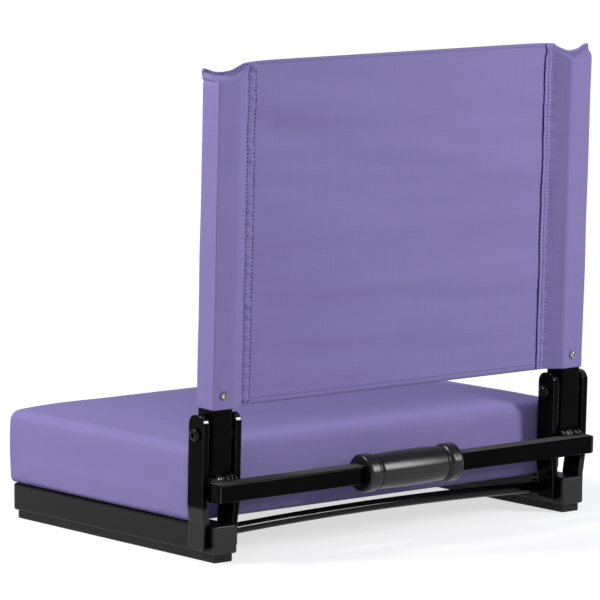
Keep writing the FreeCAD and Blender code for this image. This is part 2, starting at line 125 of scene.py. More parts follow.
def bakedEnamel(name):
    gloss = enamelLook[name]
    material, tree, shader, place = startMaterial(name, {"IOR": 1.5})
    coords = addNode(tree, "ShaderNodeTexCoord")
    upward = addNode(tree, "ShaderNodeSeparateXYZ", {}, {"Vector": coords.outputs["Normal"]}).outputs["Z"]
    # Painted sheen: faces that look up are mixed towards a rougher grey, which stands in for the light they
    # catch at a grazing angle
    tilted, level = enamelLook["paintedSheenFacing"]
    paintedSheen = addNode(tree, "ShaderNodeMapRange",
                   {"From Min": tilted, "From Max": level, "To Max": gloss["paintedSheen"]},
                   {"Value": upward}).outputs["Result"]
    cloud = addNode(tree, "ShaderNodeTexNoise", {"Scale": perMetre(40), "Detail": 4.0}, {"Vector": place})
    tone = twoTones(tree, cloud.outputs["Fac"], 0.35, 0.7, enamelLook["dark"], enamelLook["light"])
    paintedSheenTone = addNode(tree, "ShaderNodeMix", {"data_type": "RGBA", 7: hexColour(enamelLook["paintedSheenColour"])},
                    {0: paintedSheen, 6: tone})
    tree.links.new(paintedSheenTone.outputs[2], shader.inputs["Base Color"])
    low, high = enamelLook["roughness"]
    clean = addNode(tree, "ShaderNodeMapRange", {"To Min": low, "To Max": high},
                    {"Value": cloud.outputs["Fac"]})
    rough = addNode(tree, "ShaderNodeMix", {"data_type": "FLOAT", 3: enamelLook["paintedSheenRoughness"]},
                    {0: paintedSheen, 2: clean.outputs["Result"]})
    tree.links.new(rough.outputs[0], shader.inputs["Roughness"])
    softEdge = addNode(tree, "ShaderNodeBevel", {"samples": 8, "Radius": gloss["edgeMm"] * mm})
    facing = addNode(tree, "ShaderNodeNewGeometry").outputs["Normal"]
    turned = addNode(tree, "ShaderNodeVectorMath", {"operation": "DOT_PRODUCT"},
                     {0: softEdge.outputs["Normal"], 1: facing})
    begin, full = enamelLook["edgeTurn"]
    edge = addNode(tree, "ShaderNodeMapRange",
                   {"From Min": begin, "From Max": full,
                    "To Min": gloss["level"], "To Max": gloss["edgeLevel"]},
                   {"Value": turned.outputs["Value"]})
    height = addNode(tree, "ShaderNodeSeparateXYZ", {}, {"Vector": place}).outputs["Z"]
    above, below = enamelLook["footMm"]
    foot = addNode(tree, "ShaderNodeMapRange",
                   {"From Min": above * mm, "From Max": below * mm, "To Max": gloss["footLevel"]},
                   {"Value": height})
    steep, rounded = enamelLook["crestFacing"]
    crest = addNode(tree, "ShaderNodeMapRange",
                    {"From Min": steep, "From Max": rounded, "To Max": gloss["crestLevel"]},
                    {"Value": upward})
    worn = addNode(tree, "ShaderNodeMath", {"operation": "MAXIMUM"},
                   {0: edge.outputs["Result"], 1: foot.outputs["Result"]})
    shine = addNode(tree, "ShaderNodeMath", {"operation": "MAXIMUM"},
                    {0: worn.outputs["Value"], 1: crest.outputs["Result"]})
    tree.links.new(shine.outputs["Value"], shader.inputs["Specular IOR Level"])
    peel = addNode(tree, "ShaderNodeTexNoise", {"Scale": perMetre(enamelLook["peelMm"]), "Detail": 1.0},
                   {"Vector": place})
    bump = addNode(tree, "ShaderNodeBump", {"Strength": 0.05, "Distance": 0.2 * mm},
                   {"Height": peel.outputs["Fac"], "Normal": softEdge.outputs["Normal"]})
    tree.links.new(bump.outputs["Normal"], shader.inputs["Normal"])
    return material


# Plain finishes. pattern mixes the two tones, and relief, or else pattern, raises the surface: each is a
# texture, its size in mm and its settings. bump is the relief's strength and its height in mm, and edge the
# rounding that sharp edges seem to have, in mm, and its samples.
finishes = {
    # Satin black on the runners: the same paint laid thinner, so it takes the light as a dull grey
    "satinBlackEnamel": {
        "shader": {"IOR": 1.5, "Specular IOR Level": 0.16}, "roughness": (0.26, 0.36),
        "tones": ("#090909", "#0e0e0f"), "pattern": ("Noise", 25.0, {"Detail": 6.0}),
        "relief": ("Noise", 0.9, {"Detail": 2.0}), "bump": (0.06, 0.1), "edge": (0.8, 6),
    },
    # Moulded black polypropylene: even satin with a fine spark-eroded grain
    "mouldedPolypropylene": {
        "shader": {"IOR": 1.49, "Roughness": 0.38, "Specular IOR Level": 0.35},
        "tones": ("#101011", "#161617"), "pattern": ("Noise", 0.6, {"Detail": 3.0}),
        "bump": (0.12, 0.08), "edge": (0.5, 6),
    },
    # Extruded black rubber strip: matt, with fine lines along its length from the die and a little bench dust
    "extrudedRubber": {
        "shader": {"IOR": 1.52, "Roughness": 0.5, "Specular IOR Level": 0.2},
        "tones": ("#0e0e0e", "#171717"), "toneRange": (0.35, 0.75),
        "pattern": ("Noise", 18.0, {"Detail": 8.0, "Roughness": 0.7}),
        "relief": ("Wave", 1.6, {"bands_direction": "Z", "Distortion": 0.4}), "bump": (0.08, 0.1),
    },
    # Dipped black vinyl grip: soft broad highlights, with a fine pebble that breaks them up
    "dippedVinyl": {
        "shader": {"IOR": 1.53, "Roughness": 0.27, "Specular IOR Level": 0.33},
        "tones": ("#0c0c0d", "#141415"), "pattern": ("Noise", 14.0, {"Detail": 5.0}),
        "relief": ("Voronoi", 1.1, {}), "bump": (0.10, 0.12), "edge": (2.0, 8),
    },
    # Twisted polyester thread with the twist as fine slanting lines, darkened as painted shade: on the left
    # seam it stands for the shadow in the needle holes, and under the right lap's edge for the shadow in the
    # gap
    "paintedShadeThread": {
        "shader": {"IOR": 1.5, "Roughness": 0.65, "Specular IOR Level": 0.1},
        "tones": ("#2e1d6b", "#4a3788"), "toneRange": (0.2, 0.8),
        "pattern": ("Wave", 0.7, {"bands_direction": "DIAGONAL"}),
    },
    # The same thread near the cloth's shade, so its rows show faintly
    "paleThread": {
        "shader": {"IOR": 1.5, "Roughness": 0.65, "Specular IOR Level": 0.1},
        "tones": ("#675c97", "#7f75aa"), "toneRange": (0.2, 0.8),
        "pattern": ("Wave", 0.7, {"bands_direction": "DIAGONAL"}),
    },
    # Bright zinc plate on the screws: a cool silver with fine drawn scratches
    "brightZincPlate": {
        "shader": {"Metallic": 1.0, "Roughness": 0.18},
        "tones": ("#8c8c8a", "#c2c2be"), "pattern": ("Noise", 0.8, {"Detail": 4.0}), "bump": (0.06, 0.05),
    },
    # Birch plywood: pale wood with long grain
    "sawnBirchPly": {
        "shader": {"IOR": 1.45, "Roughness": 0.7}, "stretch": (0.08, 1.0, 1.0),
        "tones": ("#a9824f", "#d2b283"), "pattern": ("Noise", 5.0, {"Detail": 8.0, "Distortion": 0.6}),
        "bump": (0.15, 0.2),
    },
    # Black spunbonded dust cloth: dull, with the dimples of its bonding roll
    "spunbondDustCloth": {
        "shader": {"IOR": 1.45, "Roughness": 0.9},
        "tones": ("#0f0f0f", "#232323"), "pattern": ("Noise", 1.2, {"Detail": 6.0}),
        "relief": ("Voronoi", 2.4, {}), "bump": (0.3, 0.15),
    },
}


def plainFinish(name):
    look = finishes[name]
    material, tree, shader, place = startMaterial(name, look["shader"])
    if "stretch" in look:
        drawn = addNode(tree, "ShaderNodeMapping", {"Scale": look["stretch"]}, {"Vector": place})
        place = drawn.outputs["Vector"]
    layers = {}
    for layer in ("pattern", "relief"):
        if layer in look:
            kind, size, settings = look[layer]
            scale = bandScale(size) if kind == "Wave" else perMetre(size)
            texture = addNode(tree, "ShaderNodeTex" + kind, {"Scale": scale, **settings}, {"Vector": place})
            layers[layer] = texture.outputs["Distance" if kind == "Voronoi" else "Fac"]
    tone = twoTones(tree, layers["pattern"], *look.get("toneRange", (0.3, 0.7)), *look["tones"])
    tree.links.new(tone, shader.inputs["Base Color"])
    if "roughness" in look:
        low, high = look["roughness"]
        gloss = addNode(tree, "ShaderNodeMapRange", {"To Min": low, "To Max": high},
                        {"Value": layers["pattern"]})
        tree.links.new(gloss.outputs["Result"], shader.inputs["Roughness"])
    if "bump" in look:
        strength, height = look["bump"]
        sources = {"Height": layers.get("relief", layers["pattern"])}
        if "edge" in look:
            radius, samples = look["edge"]
            softEdge = addNode(tree, "ShaderNodeBevel", {"samples": samples, "Radius": radius * mm})
            sources["Normal"] = softEdge.outputs["Normal"]
        bump = addNode(tree, "ShaderNodeBump", {"Strength": strength, "Distance": height * mm}, sources)
        tree.links.new(bump.outputs["Normal"], shader.inputs["Normal"])
    return material


# Plain-woven polyester canvas, dyed purple: matt, with a thread grid, faint slubs and a soft sheen at grazing
# angles. The real threads lie about 0.5 mm apart, too fine for the render, so they are drawn 2.2 mm apart.
canvasLook = {"dark": "#8076aa", "light": "#847aae", "gap": "#746aa0", "shade": "#7c72a5", "threadMm": 2.2,
              "slubMm": (60.0, 1.6), "patchMm": 130.0}


def wovenCanvas():
    material, tree, shader, place = startMaterial(
        "wovenPolyesterCanvas",
        {"IOR": 1.45, "Roughness": 0.78, "Specular IOR Level": 0.25,
         "Sheen Weight": 0.12, "Sheen Roughness": 0.4, "Sheen Tint": hexColour("#c4bce6")})
    threads = []
    for direction in ("X", "Y", "Z"):
        threads.append(addNode(tree, "ShaderNodeTexWave",
                               {"bands_direction": direction, "Scale": bandScale(canvasLook["threadMm"]),
                                "Distortion": 1.6, "Detail Scale": 2.0}, {"Vector": place}).outputs["Fac"])
    crossing = []
    for first, second in ((0, 1), (1, 2), (2, 0)):
        crossing.append(addNode(tree, "ShaderNodeMath", {"operation": "MULTIPLY"},
                                {0: threads[first], 1: threads[second]}).outputs["Value"])
    pair = addNode(tree, "ShaderNodeMath", {"operation": "ADD"}, {0: crossing[0], 1: crossing[1]})
    weave = addNode(tree, "ShaderNodeMath", {"operation": "ADD"}, {0: pair.outputs["Value"], 1: crossing[2]})
    long, fine = canvasLook["slubMm"]
    slubs = []
    for stretch in ((1 / long, 1 / fine, 1 / fine), (1 / fine, 1 / long, 1 / long)):
        drawn = addNode(tree, "ShaderNodeMapping", {"Scale": tuple(s / mm for s in stretch)},
                        {"Vector": place})
        slubs.append(addNode(tree, "ShaderNodeTexNoise", {"Scale": 1.0, "Detail": 2.0},
                             {"Vector": drawn.outputs["Vector"]}).outputs["Fac"])
    slub = addNode(tree, "ShaderNodeMix", {"data_type": "FLOAT", 0: 0.5},
                   {2: slubs[0], 3: slubs[1]}).outputs[0]
    patch = addNode(tree, "ShaderNodeTexNoise", {"Scale": perMetre(canvasLook["patchMm"]), "Detail": 2.0},
                    {"Vector": place})
    dyed = twoTones(tree, slub, 0.35, 0.65, canvasLook["dark"], canvasLook["light"])
    holes = addNode(tree, "ShaderNodeMapRange", {"From Max": 1.2, "To Min": 0.15, "To Max": 0.0},
                    {"Value": weave.outputs["Value"]})
    knit = addNode(tree, "ShaderNodeMix", {"data_type": "RGBA", 7: hexColour(canvasLook["gap"])},
                   {0: holes.outputs["Result"], 6: dyed})
    faded = addNode(tree, "ShaderNodeMapRange", {"From Min": 0.35, "From Max": 0.7, "To Max": 0.3},
                    {"Value": patch.outputs["Fac"]})
    tone = addNode(tree, "ShaderNodeMix", {"data_type": "RGBA", 7: hexColour(canvasLook["shade"])},
                   {0: faded.outputs["Result"], 6: knit.outputs[2]})
    tree.links.new(tone.outputs[2], shader.inputs["Base Color"])
    bump = addNode(tree, "ShaderNodeBump", {"Strength": 0.14, "Distance": 0.15 * mm},
                   {"Height": weave.outputs["Value"]})
    tree.links.new(bump.outputs["Normal"], shader.inputs["Normal"])
    return material


rodEnamel = bakedEnamel("glossBlackEnamel")
flatEnamel = bakedEnamel("flatBlackEnamel")
earEnamel = bakedEnamel("earBlackEnamel")
barEnamel = bakedEnamel("barBlackEnamel")
beadEnamel = bakedEnamel("beadBlackEnamel")
runnerPaint = plainFinish("satinBlackEnamel")
capPlastic = plainFinish("mouldedPolypropylene")
stripRubber = plainFinish("extrudedRubber")
gripVinyl = plainFinish("dippedVinyl")
canvas = wovenCanvas()
paintedShadeThread = plainFinish("paintedShadeThread")
paleThread = plainFinish("paleThread")
zinc = plainFinish("brightZincPlate")
ply = plainFinish("sawnBirchPly")
spunbond = plainFinish("spunbondDustCloth")

# What each frame node that stays in view is made of
nodeFinish = {
    rodEnamel: ["rear_cross_rod", "left_pivot_bolt", "right_pivot_bolt", "left_pivot_nut", "right_pivot_nut"],
    flatEnamel: ["left_inner_ear", "right_inner_ear", "left_back_tube", "right_back_tube"],
    earEnamel: ["left_outer_ear", "right_outer_ear"],
    barEnamel: ["handle_bar", "bar_end_plugs"],
    runnerPaint: ["left_runner", "right_runner"],
    capPlastic: ["left_front_cap", "left_rear_cap", "right_front_cap", "right_rear_cap", "pivot_spacers",
                 "back_tube_plugs"],
    stripRubber: ["left_foot_strip", "right_foot_strip"],
    gripVinyl: ["handle_grip"],
    zinc: ["seat_screws"],
    ply: ["seat_board"],
}
for finish, names in nodeFinish.items():
    for name in names:
        nodes[name].data.materials.clear()
        nodes[name].data.materials.append(finish)
print("materials ready")


# A sheet of quads from rows of points; closed rows join their end to their start
def meshFromGrid(name, rows, closed=False):
    width = len(rows[0])
    faces = []
    for r in range(len(rows) - 1):
        for c in range(width if closed else width - 1):
            d = (c + 1) % width
            faces.append((r * width + c, r * width + d, (r + 1) * width + d, (r + 1) * width + c))
    return meshPiece(name, [p for row in rows for p in row], faces)


def meshPiece(name, points, faces):
    mesh = bpy.data.meshes.new(name)
    mesh.from_pydata(points, [], faces)
    mesh.update()
    piece = bpy.data.objects.new(name, mesh)
    bpy.context.scene.collection.objects.link(piece)
    return piece


# Keeps what the modifiers give as the piece's own mesh
def settle(piece):
    graph = bpy.context.evaluated_depsgraph_get()
    shaped = bpy.data.meshes.new_from_object(piece.evaluated_get(graph))
    piece.modifiers.clear()
    piece.data = shaped
    return piece


def thicken(piece, thickness):
    skin = piece.modifiers.new("clothThickness", "SOLIDIFY")
    skin.thickness = thickness
    skin.offset = 0


def faceOutward(piece):
    work = bmesh.new()
    work.from_mesh(piece.data)
    bmesh.ops.recalc_face_normals(work, faces=work.faces)
    work.to_mesh(piece.data)
    work.free()


# Quads between rings of points, from the first point's number on, and a cap at each end
def joinRings(faces, first, rings, sides):
    for ring in range(rings - 1):
        base = first + ring * sides
        for s in range(sides):
            n = (s + 1) % sides
            faces.append((base + s, base + n, base + sides + n, base + sides + s))
    faces.append(tuple(first + s for s in reversed(range(sides))))
    faces.append(tuple(first + (rings - 1) * sides + s for s in range(sides)))


def dress(piece, finish, body):
    piece.data.materials.clear()
    piece.data.materials.append(finish)
    for face in piece.data.polygons:
        face.use_smooth = True
    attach(piece, body)
    return piece


def easeInOut(t):
    t = min(max(t, 0.0), 1.0)
    return t * t * (3 - 2 * t)


# Value at x on a smooth line through points given in order of x
def curveAt(points, x):
    if x <= points[0][0]:
        return points[0][1]
    if x >= points[-1][0]:
        return points[-1][1]
    k = max(i for i in range(len(points) - 1) if points[i][0] <= x)
    (x0, y0), (x1, y1) = points[k], points[k + 1]
    before = points[max(k - 1, 0)]
    after = points[min(k + 2, len(points) - 1)]
    slope0 = (y1 - before[1]) / (x1 - before[0])
    slope1 = (after[1] - y0) / (after[0] - x0)
    t = (x - x0) / (x1 - x0)
    span = x1 - x0
    return ((1 + 2 * t) * (1 - t) ** 2 * y0 + t * (1 - t) ** 2 * span * slope0
            + t * t * (3 - 2 * t) * y1 + t * t * (t - 1) * span * slope1)


# The reclined back has its own frame from the pivot: x across, n to the rear, u up along the tubes
backPlane = {"reclineDegrees": 2.1}
pivot = Vector(frame["joints"][0]["pos_m"])
backTurn = Matrix.Translation(pivot) @ Matrix.Rotation(-math.radians(backPlane["reclineDegrees"]), 4, "X")
backUnturn = backTurn.inverted()


def onBack(x, n, u):
    return backTurn @ Vector((x, n, u))


# Lowest and highest corner of a node, seen in the back's frame
def backExtent(name):
    points = [backUnturn @ v.co for v in nodes[name].data.vertices]
    low = Vector([min(p[i] for p in points) for i in range(3)])
    high = Vector([max(p[i] for p in points) for i in range(3)])
    return low, high


tubeLow, tubeHigh = backExtent("left_back_tube")
panelLow, panelHigh = backExtent("back_panel")
sleeveHigh = backExtent("left_sleeve")[1]
screwLow, screwHigh = backExtent("sleeve_screws")
tubeX = (tubeLow.x + tubeHigh.x) / 2
seamX = panelHigh.x
clothBottom = panelLow.z
clothTop = panelHigh.z
screwU = (screwLow.z + screwHigh.z) / 2

cloth = {"thickness": 0.8 * mm}
cloth["panelRear"] = panelLow.y + cloth["thickness"]


# Seat cushion: a foam block in a tight cover, with rolled edges and a crowned top. A cloth simulation swells
# a smaller copy of it, and the cover follows that as far as the foam lets it.
cushionShape = {
    "topRoll": 10.5 * mm,
    "baseRoll": 5.0 * mm,
    "cornerRound": 8.5 * mm,
    "cornerSpread": 26.0 * mm,
    "crown": 13.4 * mm,
    "sideSwell": 0.9 * mm,
    "step": 7.0 * mm,
    "rollSteps": 4,
    "slack": 2.6 * mm,
    "give": 1.1 * mm,
    "pressure": 4.0,
    "frames": 20,
    "ripple": 0.5 * mm, "rippleSize": 34.0 * mm, "rippleFrom": 20.0 * mm,
    "stapled": 3.0 * mm, "weld": 0.2 * mm,
}


def axisSteps(half, roll):
    inner = half - roll
    count = max(2, round(2 * inner / cushionShape["step"]))
    middle = [-inner + 2 * inner * i / count for i in range(count + 1)]
    ends = [inner + roll * math.tan(math.pi / 4 * (i + 1) / cushionShape["rollSteps"])
            for i in range(cushionShape["rollSteps"])]
    return [-e for e in reversed(ends)] + middle + ends


# A point of the outer box, drawn onto the block with rolled edges
def rolledBlock(half, p):
    roll = cushionShape["cornerRound"]
    rise = cushionShape["topRoll"] if p.z > 0 else cushionShape["baseRoll"]
    inner = Vector((max(-half.x + roll, min(half.x - roll, p.x)),
                    max(-half.y + roll, min(half.y - roll, p.y)),
                    max(-half.z + cushionShape["baseRoll"], min(half.z - cushionShape["topRoll"], p.z))))
    out = Vector(((p.x - inner.x) / roll, (p.y - inner.y) / roll, (p.z - inner.z) / rise))
    if out.length > 0:
        out.normalize()
    return inner + Vector((out.x * roll, out.y * roll, out.z * rise))


# The crown rises from all four edges alike, so it has soft hips towards the corners
def crownAt(half, p):
    fromX, fromY = half.x - abs(p.x), half.y - abs(p.y)
    spread = cushionShape["cornerSpread"]
    blend = max(spread - abs(fromX - fromY), 0.0) / spread
    inward = max(0.0, min(fromX, fromY) - blend * blend * spread / 4)
    share = min(inward / half.y, 1.0)
    return cushionShape["crown"] * (1 - (1 - share) ** 2)


def makeCushion():
    low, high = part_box("seat_cover")
    edgeTop = high.z - cushionShape["crown"]
    centre = Vector(((low.x + high.x) / 2, (low.y + high.y) / 2, (low.z + edgeTop) / 2))
    half = Vector(((high.x - low.x) / 2, (high.y - low.y) / 2, (edgeTop - low.z) / 2))
    steps = [axisSteps(half[i], cushionShape["cornerRound"]) for i in range(3)]
    work = bmesh.new()
    for axis in range(3):
        a, b = [i for i in range(3) if i != axis]
        for end in (-1, 1):
            grid = []
            for s in steps[a]:
                row = []
                for t in steps[b]:
                    p = Vector((0, 0, 0))
                    p[axis] = end * half[axis]
                    p[a], p[b] = s, t
                    row.append(work.verts.new(rolledBlock(half, p)))
                grid.append(row)
            for r in range(len(grid) - 1):
                for c in range(len(grid[0]) - 1):
                    work.faces.new((grid[r][c], grid[r + 1][c], grid[r + 1][c + 1], grid[r][c + 1]))
    bmesh.ops.remove_doubles(work, verts=work.verts, dist=cushionShape["weld"])
    bmesh.ops.recalc_face_normals(work, faces=work.faces)
    foam = []
    for v in work.verts:
        target = v.co.copy()
        upright = 1 - (v.co.z / half.z) ** 2
        for i in (0, 1):
            target[i] -= cushionShape["sideSwell"] * (1 - upright) * v.co[i] / half[i]
        if v.co.z > 0:
            target.z += crownAt(half, v.co) * easeInOut(v.co.z / half.z)
        foam.append(target + centre)
        inset = cushionShape["slack"] * easeInOut((v.co.z + half.z) / (0.4 * half.z))
        v.co = target + centre - v.normal * inset
    mesh = bpy.data.meshes.new("seatCushion")
    work.to_mesh(mesh)
    work.free()
    piece = bpy.data.objects.new("seatCushion", mesh)
    bpy.context.scene.collection.objects.link(piece)
    blowUp(piece, low.z)
    for v, rest in zip(piece.data.vertices, foam):
        pull = v.co - rest
        if pull.length > cushionShape["give"]:
            pull *= cushionShape["give"] / pull.length
        p = rest + pull
        above = easeInOut((p.z - low.z) / cushionShape["rippleFrom"])
        dip = cushionShape["ripple"] * (noise.noise(p / cushionShape["rippleSize"]) - 0.4) * above
        p += (rest - centre).normalized() * dip
        p.x = max(low.x, min(high.x, p.x))
        p.y = max(low.y, min(high.y, p.y))
        p.z = max(low.z, min(high.z, p.z))
        v.co = p
    piece.modifiers.new("smoothCover", "SUBSURF").levels = 1
    settle(piece)
    dress(piece, canvas, "base")
    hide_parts("seat_cover", "seat_foam")
    return piece


# The cover is held where it is stapled under the board, and the foam's push swells the rest
def blowUp(piece, baseLevel):
    held = piece.vertex_groups.new(name="stapledUnder")
    level = baseLevel + cushionShape["stapled"]
    held.add([v.index for v in piece.data.vertices if v.co.z < level], 1.0, "REPLACE")
    swell = piece.modifiers.new("foamPush", "CLOTH")
    swell.settings.vertex_group_mass = "stapledUnder"
    swell.settings.use_pressure = True
    swell.settings.uniform_pressure_force = cushionShape["pressure"]
    swell.settings.effector_weights.gravity = 0.0
    swell.settings.quality = 5
    swell.point_cache.frame_start = 1
    swell.point_cache.frame_end = cushionShape["frames"]
    for step in range(1, cushionShape["frames"] + 1):
        bpy.context.scene.frame_set(step)
    settle(piece)
    bpy.context.scene.frame_set(1)


cushion = makeCushion()
print("cushion done:", len(cushion.data.vertices), "points")


# Dust cloth stapled under the board, hanging a little between its edges
dustShape = {"sag": 1.0 * mm, "below": 0.25 * mm, "columns": 40, "rows": 24,
             "wave": 0.25 * mm, "waveSize": 30 * mm, "thickness": 0.4 * mm}


def makeDustCloth():
    low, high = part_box("seat_dust_cover")
    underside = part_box("seat_cover")[0].z
    rows = []
    for r in range(dustShape["rows"] + 1):
        across = r / dustShape["rows"]
        row = []
        for c in range(dustShape["columns"] + 1):
            along = c / dustShape["columns"]
            hang = dustShape["sag"] * (1 - (2 * along - 1) ** 4) * (1 - (2 * across - 1) ** 4)
            x = low.x + (high.x - low.x) * along
            y = low.y + (high.y - low.y) * across
            wave = dustShape["wave"] * noise.noise(Vector((x, y, 0)) / dustShape["waveSize"])
            row.append(Vector((x, y, underside - dustShape["below"] - hang + wave)))
        rows.append(row)
    piece = meshFromGrid("dustCloth", rows)
    faceOutward(piece)
    thicken(piece, dustShape["thickness"])
    settle(piece)
    dress(piece, spunbond, "base")
    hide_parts("seat_dust_cover")
    return piece


makeDustCloth()
print("dust cloth done")


# Back panel: one cloth stretched between the sleeves, hemmed at top and bottom, with soft level ripples
panelShape = {
    "columns": 96, "rows": 110,
    "ripple": 3.6 * mm, "rippleHeight": 34 * mm, "rippleLength": 190 * mm,
    "seamHold": 35 * mm, "hemHold": 30 * mm,
    "pucker": 0.5 * mm, "puckerPitch": 12 * mm, "puckerReach": 14 * mm, "puckerDrift": 40 * mm,
    "puckerPatch": (60 * mm, 23 * mm),
    "hem": 9 * mm, "hemStep": 0.4 * mm, "hemSlope": 1.2 * mm, "hemStitch": 5.2 * mm,
    "bow": 1.1 * mm, "bowReach": 12 * mm, "bowDepth": 40 * mm,
}


def panelRipple(x, u):
    spot = Vector((x / panelShape["rippleLength"], u / panelShape["rippleHeight"], 4.2))
    wave = noise.noise(spot) + 0.35 * noise.noise(spot * 2.1)
    toSeam = max(seamX - abs(x), 0.0)
    hold = 0.25 + 0.75 * easeInOut(toSeam / panelShape["seamHold"])
    hold *= 0.7 + 0.5 * easeInOut((u - clothBottom) / (clothTop - clothBottom))
    toHem = min(u - clothBottom, clothTop - u)
    hold *= 0.15 + 0.85 * easeInOut(toHem / panelShape["hemHold"])
    drift = 2 * noise.noise(Vector((0, u / panelShape["puckerDrift"], 0)))
    pucker = math.sin(math.tau * u / panelShape["puckerPitch"] + drift)
    pucker *= panelShape["pucker"] * math.exp(-toSeam / panelShape["puckerReach"])
    patchWide, patchTall = panelShape["puckerPatch"]
    pucker *= 0.4 + 1.2 * noise.noise(Vector((x / patchWide, u / patchTall, 8.5)))
    return panelShape["ripple"] * wave * hold + pucker


def hemStepAt(u):
    toEdge = min(u - clothBottom, clothTop - u)
    return panelShape["hemStep"] * easeInOut((panelShape["hem"] - toEdge) / panelShape["hemSlope"] + 0.5)


# The top edge stands a little higher than the seams, which hold it down
def bowAt(x, u):
    toSeam = max(seamX - abs(x), 0.0)
    rise = easeInOut((u - clothTop + panelShape["bowDepth"]) / panelShape["bowDepth"])
    return panelShape["bow"] * rise * (1 - math.exp(-toSeam / panelShape["bowReach"]))


def panelAt(x, u):
    return panelLow.y + cloth["thickness"] / 2 + panelRipple(x, u)


def makePanel():
    rows = []
    step = (clothTop - clothBottom) / panelShape["rows"]
    levels = [clothBottom + step * r for r in range(panelShape["rows"] + 1)]
    for edge in (clothBottom, clothTop):
        inward = 1 if edge == clothBottom else -1
        levels += [edge + inward * (panelShape["hem"] + d * panelShape["hemSlope"]) for d in (-0.5, 0.5)]
    for u in sorted(set(levels)):
        row = []
        for c in range(panelShape["columns"] + 1):
            x = -seamX + 2 * seamX * c / panelShape["columns"]
            row.append(onBack(x, panelAt(x, u) + hemStepAt(u) / 2, u + bowAt(x, u)))
        rows.append(row)
    piece = meshFromGrid("backPanel", rows)
    faceOutward(piece)
    thicken(piece, cloth["thickness"])
    settle(piece)
    dress(piece, canvas, "backrest")
    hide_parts("back_panel")
    return piece


# Sleeves round the back tubes: pinched at the seam, lapped over the panel and sewn shut over the tube's top.
# ridge gives the top edge's height, in mm from the pivot, against the distance outwards from the tube's axis;
# stitchRows lie in from the lap's free edge, and lift is how far that edge stands off the panel.
sleeveShape = {
    "bends": [3.5 * mm, 7.0 * mm, 0.7 * mm, 1.2 * mm, 5.0 * mm],
    "lap": 9.6 * mm, "levels": 150, "arcSteps": 5, "faceSteps": (10, 7, 8, 8, 8, 7),
    "wave": 0.45 * mm, "waveSize": 24 * mm, "dimple": 0.35 * mm, "dimpleReach": 9 * mm,
    "frontInset": 0.7 * mm, "frontFade": 20 * mm, "frontCalm": 0.7,
    "pull": 1.8 * mm, "pullLength": 19 * mm, "pullWidth": 2.4 * mm, "pullLean": 0.45, "pullStart": 7 * mm,
    "gatherPitch": 9 * mm, "gatherDrift": 31 * mm, "gatherPatch": 19 * mm,
    "groove": 0.3 * mm, "grooveWidth": 0.9 * mm, "liftPatch": 26 * mm,
    "wiggleDrop": 7 * mm, "wiggleReach": 3.6 * mm, "creaseReach": 1.2 * mm,
    "fin": 3.4 * mm, "finHalf": 0.45 * mm, "crease": 0.9 * mm, "puff": 0.8 * mm, "seamShoulder": 11 * mm,
    "flopReach": 10 * mm, "lapDrop": 6 * mm, "creaseRow": 0.996, "finStep": 0.2 * mm,
    "closeRows": (0.08, 0.18, 0.3, 0.43, 0.56, 0.66, 0.74, 0.82, 0.91, 1.0), "finShare": 0.66,
    "left": {
        "side": 1, "stitchRows": (1.6 * mm, 9.2 * mm), "lift": 0.5 * mm, "wiggle": 0.0, "flop": -13.5 * mm,
        "ridgeStitch": 1.5 * mm, "gather": 3.6 * mm,
        "ridge": [(-26.7, 320.8), (-22.0, 320.3), (-17.5, 318.5), (-13.0, 316.7), (-9.5, 315.2),
                  (-3.0, 314.3), (2.0, 313.8), (4.0, 313.5), (6.0, 314.0), (8.0, 315.6), (10.0, 316.2),
                  (11.4, 315.9), (12.6, 314.1)],
    },
    "right": {
        "side": -1, "stitchRows": (4.4 * mm, 8.6 * mm), "lift": 1.1 * mm, "wiggle": 1.8 * mm, "flop": 0.0,
        "ridgeStitch": 2.2 * mm, "gather": 1.3 * mm,
        "ridge": [(-26.7, 320.4), (-21.0, 317.7), (-16.0, 315.8), (-11.0, 314.1), (-6.0, 313.4),
                  (-1.0, 314.1), (3.0, 314.6), (5.5, 315.7), (8.0, 317.2), (11.0, 318.5), (13.5, 318.9),
                  (15.2, 318.6), (16.2, 317.2)],
    },
}


# One turn of the cloth round a tube, from the lap's free edge to the front of the seam, with each point's
# outward direction and the part of the sleeve it lies on; x is measured from the tube's axis
def sleeveTurn():
    half = sleeveHigh.y - cloth["thickness"] / 2
    seam = seamX - tubeX
    lapRear = cloth["panelRear"] + cloth["thickness"] / 2
    path = [Vector((seam - sleeveShape["lap"], lapRear)), Vector((seam, lapRear)), Vector((-half, half)),
            Vector((half, half)), Vector((half, -half)), Vector((-half, -half)),
            Vector((seam, panelLow.y - cloth["thickness"] / 2))]
    last = path[0]
    turn = [(last, Vector((0, 1)), "lap")]
    for i, part in enumerate(("lap", "rearWing", "rear", "side", "front", "frontWing")):
        into = (path[i + 1] - path[i]).normalized()
        outside = Vector((-into.y, into.x))
        start, angle, reach, bend = path[i + 1], 0.0, 0.0, 0.0
        if i < 5:
            away = (path[i + 2] - path[i + 1]).normalized()
            angle = math.atan2(into.x * away.y - into.y * away.x, into.dot(away))
            bend = sleeveShape["bends"][i]
            reach = bend * math.tan(abs(angle) / 2)
            start = path[i + 1] - into * reach
        for s in range(1, sleeveShape["faceSteps"][i] + 1):
            turn.append((last.lerp(start, s / sleeveShape["faceSteps"][i]), outside, part))
        if i == 5:
            break
        hollow = math.copysign(bend, angle)
        for s in range(1, sleeveShape["arcSteps"] + 1):
            swing = Matrix.Rotation(angle * s / sleeveShape["arcSteps"], 2)
            turn.append((start + outside * hollow - swing @ outside * hollow, swing @ outside, part))
        last = path[i + 1] + away * reach
    return turn


# How far front to back the closed end's edge lies, where the ear flops over
def earLine(shape, x):
    return cloth["panelRear"] + shape["flop"] * easeInOut(x / sleeveShape["flopReach"])


